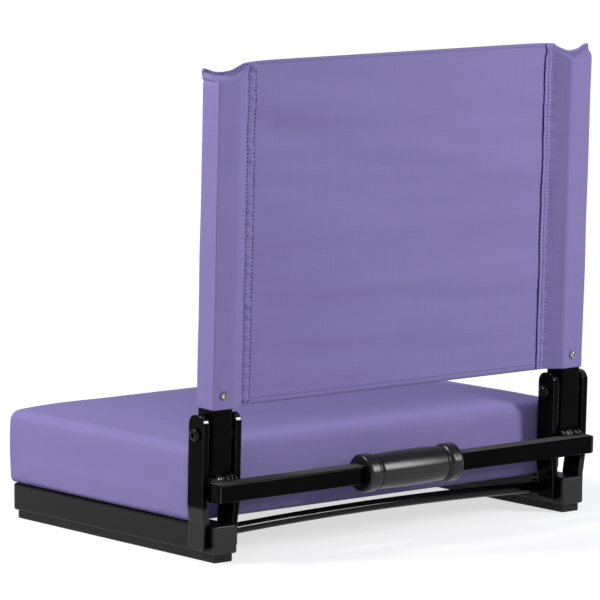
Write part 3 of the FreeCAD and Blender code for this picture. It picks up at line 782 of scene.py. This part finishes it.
# The lap's free edge swings out of line near its top
def lapWiggle(shape, u):
    fromMiddle = u - clothTop + sleeveShape["wiggleDrop"]
    return shape["wiggle"] * math.exp(-(fromMiddle / sleeveShape["wiggleReach"]) ** 2)


# Narrow gathers that the thread draws between the stitch rows, uneven along the seam
def seamGather(shape, u):
    drift = noise.noise(Vector((u / sleeveShape["gatherDrift"], shape["side"] * 3.7, 0)))
    patch = noise.noise(Vector((u / sleeveShape["gatherPatch"], shape["side"] * 9.1, 5)))
    depth = max(0.0, 0.45 + 1.1 * patch)
    fold = 0.5 + 0.5 * math.sin(math.tau * u / sleeveShape["gatherPitch"] + 4 * drift)
    return shape["gather"] * depth * fold ** 1.5


def makeSleeve(name):
    shape = sleeveShape[name]
    side = shape["side"]
    turn = sleeveTurn()
    half = sleeveHigh.y - cloth["thickness"] / 2
    seam = seamX - tubeX
    middle = cloth["panelRear"]
    plugTop = backExtent("back_tube_plugs")[1].z + cloth["thickness"]
    tip = shape["ridge"][-1][0] * mm
    finShare = sleeveShape["finShare"]

    def ridgeAt(x):
        return curveAt(shape["ridge"], x / mm) * mm

    # The lap lies on the panel, is drawn down along its stitches, and its free edge stands off
    def lapPoint(p, u):
        fromEdge = p.x - (seam - sleeveShape["lap"])
        first, second = shape["stitchRows"]
        free = max(0.0, 1 - fromEdge / first)
        x = p.x + lapWiggle(shape, u) * free
        n = p.y + panelRipple(side * (tubeX + p.x), u)
        uneven = noise.noise(Vector((0, u / sleeveShape["liftPatch"], side)))
        n += shape["lift"] * free ** 1.4 * (0.85 + 0.5 * uneven)
        between = max(0.0, 1 - abs(fromEdge - (first + second) / 2) / (0.75 * (second - first)))
        n += seamGather(shape, u) * between
        for row in (first, second):
            n -= sleeveShape["groove"] * math.exp(-((fromEdge - row) / sleeveShape["grooveWidth"]) ** 2)
        return x, n

    def nearSeam(p):
        return min(max((-half - p.x) / (-half - seam), 0.0), 1.0)

    def shoulderAt(p, part):
        return plugTop + sleeveShape["seamShoulder"] * (nearSeam(p) if "Wing" in part else 0.0)

    # The tube part follows the tube, with slight waves, a dimple round the screw and a fold drawn up from it.
    # The front lies flatter and closer, which leaves room for the cushion when the back is folded.
    def tubePoint(p, out, part, u):
        spot = Vector((p.x / sleeveShape["waveSize"], p.y / sleeveShape["waveSize"],
                       u / (2.2 * sleeveShape["waveSize"]) + 7 * side))
        flat = max(0.0, -out.y) ** 2 * easeInOut((plugTop - u) / sleeveShape["frontFade"])
        push = sleeveShape["wave"] * noise.noise(spot) * (1 - sleeveShape["frontCalm"] * flat)
        push -= sleeveShape["frontInset"] * flat
        if part == "rear":
            rise = u - screwU
            fromScrew = math.hypot(p.x, rise) / sleeveShape["dimpleReach"]
            push -= sleeveShape["dimple"] * math.exp(-fromScrew ** 2)
            if rise > 0:
                offLine = p.x - side * sleeveShape["pullLean"] * rise
                fade = max(0.0, 1 - rise / sleeveShape["pullLength"])
                fade *= easeInOut(rise / sleeveShape["pullStart"])
                push += sleeveShape["pull"] * fade * math.exp(-(offLine / sleeveShape["pullWidth"]) ** 2)
        ripple = panelRipple(side * (tubeX + p.x), u) * nearSeam(p) ** 3 if "Wing" in part else 0.0
        return p.x + out.x * push, p.y + out.y * push + ripple

    rows = []
    shares = [i / sleeveShape["levels"] for i in range(sleeveShape["levels"] + 1)]
    shares = sorted(shares + [sleeveShape["creaseRow"]])
    for share in shares:
        row = []
        for p, out, part in turn:
            top = clothTop - sleeveShape["lapDrop"] if part == "lap" else shoulderAt(p, part)
            u = clothBottom + (top - clothBottom) * share
            x, n = lapPoint(p, u) if part == "lap" else tubePoint(p, out, part, u)
            if part == "side":
                x -= sleeveShape["crease"] * math.exp(-((u - plugTop) / sleeveShape["creaseReach"]) ** 2)
            row.append(onBack(side * (tubeX + x), n, u))
        rows.append(row)
    for share in sleeveShape["closeRows"]:
        row = []
        for p, out, part in turn:
            if part == "lap":
                u = clothTop - sleeveShape["lapDrop"] * (1 - share)
                x, n = lapPoint(p, u)
                row.append(onBack(side * (tubeX + x), n, u))
                continue
            outward = 0.0
            onSide = p.x > half - sleeveShape["bends"][2]
            if onSide:
                outward = 1 - min(abs(p.y - middle) / half, 1.0)
            finX = p.x + (tip - half) * outward
            finMiddle = earLine(shape, finX)
            layer = sleeveShape["finHalf"] * (1 if p.y > middle else -1)
            finTop = ridgeAt(finX)
            finFoot = max(finTop - sleeveShape["fin"], shoulderAt(p, part) + sleeveShape["finStep"])
            if share <= finShare:
                t = share / finShare
                u = shoulderAt(p, part) + (finFoot - shoulderAt(p, part)) * t ** 0.85
                n = p.y + (finMiddle + layer - p.y) * t ** 1.4
                x = p.x + (finX - p.x) * t ** 0.7
                if onSide:
                    x += sleeveShape["puff"] * math.sin(math.pi * t)
            else:
                t = (share - finShare) / (1 - finShare)
                u = finFoot + (finTop - finFoot) * t
                n = finMiddle + layer
                x = finX
            row.append(onBack(side * (tubeX + x), n, u))
        rows.append(row)
    piece = meshFromGrid(name + "Sleeve", rows)
    faceOutward(piece)
    thicken(piece, cloth["thickness"])
    piece.modifiers.new("smoothCloth", "SUBSURF").levels = 1
    settle(piece)
    dress(piece, canvas, "backrest")
    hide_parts(name + "_sleeve")
    return piece


panel = makePanel()
leftSleeve = makeSleeve("left")
rightSleeve = makeSleeve("right")
print("back panel and sleeves done")


# Lockstitch rows: short spindles of thread that dip at both ends. At slitCover they run into one line,
# painted shadow under the right lap's free edge.
stitchShape = {"pitch": 3.4 * mm, "cover": 0.64, "slitCover": 1.2, "radius": 0.40 * mm, "sides": 6,
               "spindle": ((0.0, 0.35), (0.2, 0.85), (0.5, 1.0), (0.8, 0.85), (1.0, 0.35)), "sunk": 0.55,
               "fromBottom": 2 * mm, "fromTop": 3 * mm, "slitStep": 0.1 * mm, "tack": 1 * mm, "steps": 120}


def addStitches(points, faces, line, out, cover=stitchShape["cover"]):
    lengths = [0.0]
    for a, b in zip(line, line[1:]):
        lengths.append(lengths[-1] + (b - a).length)
    count = int(lengths[-1] / stitchShape["pitch"])
    reach = cover * lengths[-1] / count / 2
    for i in range(count):
        middle = (i + 0.5) * lengths[-1] / count
        ends = []
        for at in (max(middle - reach, 0.0), min(middle + reach, lengths[-1])):
            k = max(j for j in range(len(lengths) - 1) if lengths[j] <= at)
            ends.append(line[k].lerp(line[k + 1], (at - lengths[k]) / (lengths[k + 1] - lengths[k])))
        along = ends[1] - ends[0]
        across = along.cross(out).normalized()
        rise = across.cross(along).normalized()
        if rise.dot(out) < 0:
            rise = -rise
        first = len(points)
        for t, size in stitchShape["spindle"]:
            core = ends[0] + along * t + rise * stitchShape["radius"] * (size - stitchShape["sunk"])
            for s in range(stitchShape["sides"]):
                a = math.tau * s / stitchShape["sides"]
                spoke = across * math.cos(a) + rise * math.sin(a)
                points.append(core + spoke * stitchShape["radius"] * size)
        joinRings(faces, first, len(stitchShape["spindle"]), stitchShape["sides"])


def makeStitches():
    rearward = (backTurn.to_3x3() @ Vector((0, 1, 0))).normalized()
    steps = stitchShape["steps"]
    lowest, highest = clothBottom + stitchShape["fromBottom"], clothTop - stitchShape["fromTop"]
    levels = [lowest + (highest - lowest) * i / steps for i in range(steps + 1)]
    sewn = {"seamStitchesAndSlitShadow": ([], []), "hemStitches": ([], [])}
    for name in ("left", "right"):
        shape = sleeveShape[name]
        side = shape["side"]
        for row in shape["stitchRows"]:
            x = side * (seamX - sleeveShape["lap"] + row)
            rear = cloth["panelRear"] + cloth["thickness"] - sleeveShape["groove"]
            rear += stitchShape["radius"] * 0.5
            line = [onBack(x, rear + panelRipple(x, u) + 0.3 * seamGather(shape, u), u) for u in levels]
            addStitches(*sewn["seamStitchesAndSlitShadow" if name == "left" else "hemStitches"], line, rearward)
        if name == "left":
            ends = [seamX - sleeveShape["lap"] + row for row in shape["stitchRows"]]
            for u in (lowest, lowest + stitchShape["tack"]):
                line = [onBack(x, rear + panelRipple(x, u), u) for x in ends]
                addStitches(*sewn["seamStitchesAndSlitShadow"], line, rearward)
        else:
            # A continuous dark thread line just under the right lap's free edge: painted shadow for the gap
            # beneath that edge
            edge = seamX - sleeveShape["lap"] - stitchShape["slitStep"]
            slit = [(edge + lapWiggle(shape, u), u) for u in levels]
            line = [onBack(side * x, cloth["panelRear"] + panelRipple(side * x, u) + stitchShape["radius"], u)
                    for x, u in slit]
            addStitches(*sewn["seamStitchesAndSlitShadow"], line, rearward, stitchShape["slitCover"])
        first, last = shape["ridge"][0][0], shape["ridge"][-1][0] - 3
        along = [first + (last - first) * i / 40 for i in range(41)]
        proud = sleeveShape["finHalf"] + cloth["thickness"] / 2 + stitchShape["radius"] * 0.3
        line = [onBack(side * (tubeX + x * mm), earLine(shape, x * mm) + proud,
                       curveAt(shape["ridge"], x) * mm - shape["ridgeStitch"]) for x in along]
        addStitches(*sewn["seamStitchesAndSlitShadow" if name == "left" else "hemStitches"], line, rearward)
    inner = seamX - sleeveShape["lap"] - stitchShape["fromBottom"]
    for u in (clothBottom + panelShape["hemStitch"], clothTop - panelShape["hemStitch"] / 2):
        rear = cloth["thickness"] + panelShape["hemStep"] / 2 + stitchShape["radius"] * 0.1
        spread = [-inner + 2 * inner * i / steps for i in range(steps + 1)]
        line = [onBack(x, panelAt(x, u) + rear - cloth["thickness"] / 2, u + bowAt(x, u)) for x in spread]
        addStitches(*sewn["hemStitches"], line, rearward)
    for name, (points, faces) in sewn.items():
        piece = meshPiece(name, points, faces)
        faceOutward(piece)
        # The seam thread is darkened as painted shade; the other rows keep the thread's pale tone
        thread = paintedShadeThread if name == "seamStitchesAndSlitShadow" else paleThread
        dress(piece, thread, "backrest")


makeStitches()
print("stitches done")


# Weld beads: a row of overlapping ripples where two pieces of steel meet
weldShape = {
    "pitch": 4.8 * mm, "ripple": 0.26, "lag": 0.3, "sides": 18, "stepsPerRipple": 7,
    "lumps": 0.4, "lumpSize": 3.1 * mm, "knob": 1.5 * mm, "knobSize": 3.4 * mm,
    "barBead": 1.05, "barOverrun": 2.0 * mm, "barBury": 0.5 * mm,
    "earBead": 2.6 * mm, "earBury": 0.3 * mm, "earEnd": 1 * mm, "earDrop": 0.4 * mm, "earSlope": 0.6 * mm,
    "rodSteps": 40, "rodSides": 8, "rodSpread": 0.8, "rodBury": 0.35,
}


def addBead(points, faces, start, end, radius, lean):
    along = end - start
    count = max(6, int(along.length / weldShape["pitch"] * weldShape["stepsPerRipple"]))
    direction = along.normalized()
    across = direction.cross(lean).normalized()
    first = len(points)
    for i in range(count + 1):
        t = i / count
        travel = along.length * t
        swell = abs(math.sin(math.pi * travel / weldShape["pitch"]))
        taper = min(1.0, math.sqrt(max(0.0, min(t, 1 - t) * along.length / radius)) + 0.25)
        size = radius * taper * (1 - weldShape["ripple"] + weldShape["ripple"] * swell)
        lump = noise.noise(Vector((travel / weldShape["lumpSize"], radius / mm, start.x * 10)))
        size *= 1 + weldShape["lumps"] * lump
        core = start + along * t
        for s in range(weldShape["sides"]):
            a = math.tau * s / weldShape["sides"]
            lag = direction * (-weldShape["lag"] * weldShape["pitch"] * math.cos(a))
            out = lean * math.cos(a) + across * math.sin(a)
            knob = weldShape["knob"] * noise.noise((core + out * size) / weldShape["knobSize"])
            points.append(core + out * (size + knob * taper) + lag * taper)
    joinRings(faces, first, count + 1, weldShape["sides"])


def weldPiece(name, points, faces, finish, body, node):
    piece = meshPiece(name, points, faces)
    faceOutward(piece)
    dress(piece, finish, body)
    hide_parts(node)


def makeBarWelds():
    low, high = backExtent("bar_welds")
    points, faces = [], []
    rise = high.z - low.z
    lean = (backTurn.to_3x3() @ Vector((0, 1, 1))).normalized()
    for side in (1, -1):
        rear, level = low.y + weldShape["barBury"], low.z + weldShape["barBury"]
        start = onBack(side * (tubeLow.x - weldShape["barOverrun"]), rear, level)
        end = onBack(side * (tubeHigh.x + weldShape["barOverrun"]), rear, level)
        addBead(points, faces, start, end, weldShape["barBead"] * rise, lean)
    weldPiece("barWeldBeads", points, faces, beadEnamel, "backrest", "bar_welds")


def makeEarWelds():
    low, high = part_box("ear_welds")
    runnerLow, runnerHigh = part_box("left_runner")
    points, faces = [], []
    for side in (1, -1):
        for wall, outward in ((runnerHigh.x, 1), (runnerLow.x, -1)):
            lean = Vector((side * outward, 0, -1)).normalized()
            x = side * (wall + outward * weldShape["earBury"])
            level = high.z - weldShape["earDrop"]
            start = Vector((x, low.y + weldShape["earEnd"], level))
            end = Vector((x, high.y - weldShape["earEnd"], level - weldShape["earSlope"]))
            addBead(points, faces, start, end, weldShape["earBead"], lean)
    weldPiece("earWeldBeads", points, faces, rodEnamel, "base", "ear_welds")


# A ring of weld round each end of the cross rod
def makeRodWelds():
    low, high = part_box("rod_welds")
    rodLow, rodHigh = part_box("rear_cross_rod")
    radius = (rodHigh.y - rodLow.y) / 2
    centreY = (rodLow.y + rodHigh.y) / 2
    centreZ = (low.z + high.z) / 2
    inner = min(rodHigh.x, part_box("left_runner")[0].x)
    thick = (high.y - low.y) / 2 - radius
    points, faces = [], []
    steps, sides = weldShape["rodSteps"], weldShape["rodSides"]
    spread, bury = weldShape["rodSpread"], weldShape["rodBury"]
    for side in (1, -1):
        first = len(points)
        for i in range(steps):
            a = math.tau * i / steps
            lump = noise.noise(Vector((a * 3, side, 0)))
            size = thick * (0.82 + 0.18 * abs(math.sin(3.5 * a)) + 0.08 * lump)
            for s in range(sides):
                b = math.tau * s / sides
                reach = radius + bury * thick + size * math.cos(b) * spread
                points.append(Vector((side * (inner - bury * thick + size * math.sin(b) * spread),
                                      centreY + reach * math.cos(a), centreZ + reach * math.sin(a))))
        for i in range(steps):
            j = (i + 1) % steps
            for s in range(sides):
                n = (s + 1) % sides
                here, there = first + i * sides, first + j * sides
                faces.append((here + s, here + n, there + n, there + s))
    weldPiece("rodWeldBeads", points, faces, rodEnamel, "base", "rod_welds")


makeBarWelds()
makeEarWelds()
makeRodWelds()
print("weld beads done")


# Pan-head screws with a cross recess, which hold the sleeves to the tubes
screwShape = {
    "sides": 40, "crispDegrees": 35,
    "recessWidth": 1.5 * mm, "recessLength": 5.0 * mm, "recessDepth": 1.9 * mm,
    "recessMouth": 1.1, "recessFloor": 0.55, "recessAbove": 0.5 * mm,
    "outline": [(0.35, 0.98), (0.62, 0.88), (0.84, 0.66), (0.96, 0.36), (1.0, 0.0), (0.97, -0.3)],
}


def makeSleeveScrews():
    radius = screwHigh.x - tubeX
    headBase = sleeveHigh.y
    head = screwHigh.y - headBase
    for side in (1, -1):
        rows = []
        for share, rise in screwShape["outline"]:
            rows.append([onBack(side * tubeX + radius * share * math.cos(a), headBase + head * rise,
                                screwU + radius * share * math.sin(a))
                         for a in (math.tau * i / screwShape["sides"] for i in range(screwShape["sides"]))])
        name = "sleeveScrew" + ("Left" if side > 0 else "Right")
        piece = meshFromGrid(name, rows, closed=True)
        work = bmesh.new()
        work.from_mesh(piece.data)
        bmesh.ops.holes_fill(work, edges=work.edges, sides=0)
        bmesh.ops.recalc_face_normals(work, faces=work.faces)
        work.to_mesh(piece.data)
        work.free()
        for wide, tall in ((screwShape["recessLength"], screwShape["recessWidth"]),
                           (screwShape["recessWidth"], screwShape["recessLength"])):
            cutter = recessCutter(side, wide, tall, headBase + head)
            cut = piece.modifiers.new("crossRecess", "BOOLEAN")
            cut.operation = "DIFFERENCE"
            cut.object = cutter
            settle(piece)
            bpy.data.objects.remove(cutter)
        dress(piece, zinc, "backrest")
        smooth = piece.modifiers.new("crispEdges", "EDGE_SPLIT")
        smooth.split_angle = math.radians(screwShape["crispDegrees"])
        settle(piece)
    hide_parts("sleeve_screws")


# Tapered slot, one half of the cross
def recessCutter(side, wide, tall, top):
    points = []
    for depth, taper in ((screwShape["recessAbove"], screwShape["recessMouth"]),
                         (-screwShape["recessDepth"], screwShape["recessFloor"])):
        for a, b in ((-1, -1), (1, -1), (1, 1), (-1, 1)):
            points.append(onBack(side * tubeX + a * wide / 2 * taper, top + depth,
                                 screwU + b * tall / 2 * taper))
    faces = [(0, 1, 2, 3), (7, 6, 5, 4), (0, 4, 5, 1), (1, 5, 6, 2), (2, 6, 7, 3), (3, 7, 4, 0)]
    piece = meshPiece("recessCutter", points, faces)
    faceOutward(piece)
    return piece


makeSleeveScrews()
print("screws done")


# Camera at the photograph's angle, taken from the straight edges of the seat; the image is 600 by 600
cameraPlace = {
    "azimuth": 141.11, "elevation": 7.40, "distance": 4169.5 * mm, "lens": 278.64, "sensor": 36,
    "target": (41.58 * mm, 46.60 * mm, 206.74 * mm), "clipEnd": 50,
}


def makeCamera():
    a, e = math.radians(cameraPlace["azimuth"]), math.radians(cameraPlace["elevation"])
    back = Vector((math.sin(a) * math.cos(e), -math.cos(a) * math.cos(e), math.sin(e)))
    data = bpy.data.cameras.new("photoCamera")
    data.sensor_width = cameraPlace["sensor"]
    data.lens = cameraPlace["lens"]
    camera = bpy.data.objects.new("photoCamera", data)
    bpy.context.scene.collection.objects.link(camera)
    camera.rotation_mode = "QUATERNION"
    camera.rotation_quaternion = (-back).to_track_quat("-Z", "Y")
    camera.location = Vector(cameraPlace["target"]) + back * cameraPlace["distance"]
    data.clip_end = cameraPlace["clipEnd"]
    bpy.context.scene.camera = camera


# Studio floor: plain paper, seen as white by the camera and by the gloss, with the seat's own shadow on it
stageShape = {"reach": 20.0, "below": 0.2 * mm, "paper": "#acacac", "lift": (0.66, 0.88),
              "liftReach": (0.3, 2.4)}


def makeStage():
    reach = stageShape["reach"]
    rows = [[Vector((x, y, -stageShape["below"])) for x in (-reach, reach)] for y in (-reach, reach)]
    floor = meshFromGrid("studioFloor", rows)
    material = bpy.data.materials.new("mattWhitePaper")
    material.use_nodes = True
    tree = material.node_tree
    tree.nodes.clear()
    place = addNode(tree, "ShaderNodeTexCoord").outputs["Object"]
    matt = addNode(tree, "ShaderNodeBsdfDiffuse", {"Color": hexColour(stageShape["paper"])})
    away = addNode(tree, "ShaderNodeVectorMath", {"operation": "LENGTH"}, {0: place}).outputs["Value"]
    near, far = stageShape["liftReach"]
    low, high = stageShape["lift"]
    lift = addNode(tree, "ShaderNodeMapRange",
                   {"From Min": near, "From Max": far, "To Min": low, "To Max": high}, {"Value": away})
    path = addNode(tree, "ShaderNodeLightPath")
    direct = addNode(tree, "ShaderNodeMath", {"operation": "MAXIMUM"},
                     {0: path.outputs["Is Camera Ray"], 1: path.outputs["Is Glossy Ray"]})
    seen = addNode(tree, "ShaderNodeMath", {"operation": "MAXIMUM"},
                   {0: direct.outputs["Value"], 1: path.outputs["Is Transmission Ray"]})
    strength = addNode(tree, "ShaderNodeMath", {"operation": "MULTIPLY"},
                       {0: seen.outputs["Value"], 1: lift.outputs["Result"]})
    glow = addNode(tree, "ShaderNodeEmission", {"Color": (1, 1, 1, 1)},
                   {"Strength": strength.outputs["Value"]})
    bright = addNode(tree, "ShaderNodeAddShader", {}, {0: matt.outputs["BSDF"], 1: glow.outputs["Emission"]})
    addNode(tree, "ShaderNodeOutputMaterial", {}, {"Surface": bright.outputs["Shader"]})
    floor.data.materials.append(material)


# A soft box on the left, further forward, a tall low one on the right that draws the lines along the rod, the
# bar and the grip, and a broad weak fill from the camera's side
lampShape = {
    "leftBox": {"place": (1.40, -0.62, 1.30), "size": (0.5, 0.5), "power": 31.0},
    "rightBox": {"place": (-0.87, 1.26, 0.78), "size": (0.24, 0.8), "power": 16.5},
    "fill": {"place": (1.35, 1.65, 1.0), "size": (1.6, 1.6), "power": 7.0},
}
lampAim = Vector((0, 0, 0.2))
airLight = {"colour": "#eef1fa", "strength": 0.34}


def makeLamps():
    for name, lamp in lampShape.items():
        data = bpy.data.lights.new(name, "AREA")
        data.shape = "RECTANGLE"
        data.size, data.size_y = lamp["size"]
        data.energy = lamp["power"]
        light = bpy.data.objects.new(name, data)
        bpy.context.scene.collection.objects.link(light)
        light.location = lamp["place"]
        toSeat = lampAim - Vector(lamp["place"])
        light.rotation_mode = "QUATERNION"
        light.rotation_quaternion = toSeat.to_track_quat("-Z", "Y")
    world = bpy.data.worlds.new("studioAir")
    world.use_nodes = True
    background = world.node_tree.nodes["Background"]
    background.inputs["Color"].default_value = hexColour(airLight["colour"])
    background.inputs["Strength"].default_value = airLight["strength"]
    bpy.context.scene.world = world


makeCamera()
makeStage()
makeLamps()
bpy.context.scene.view_settings.view_transform = "Standard"
print("stage, lamps and camera done")
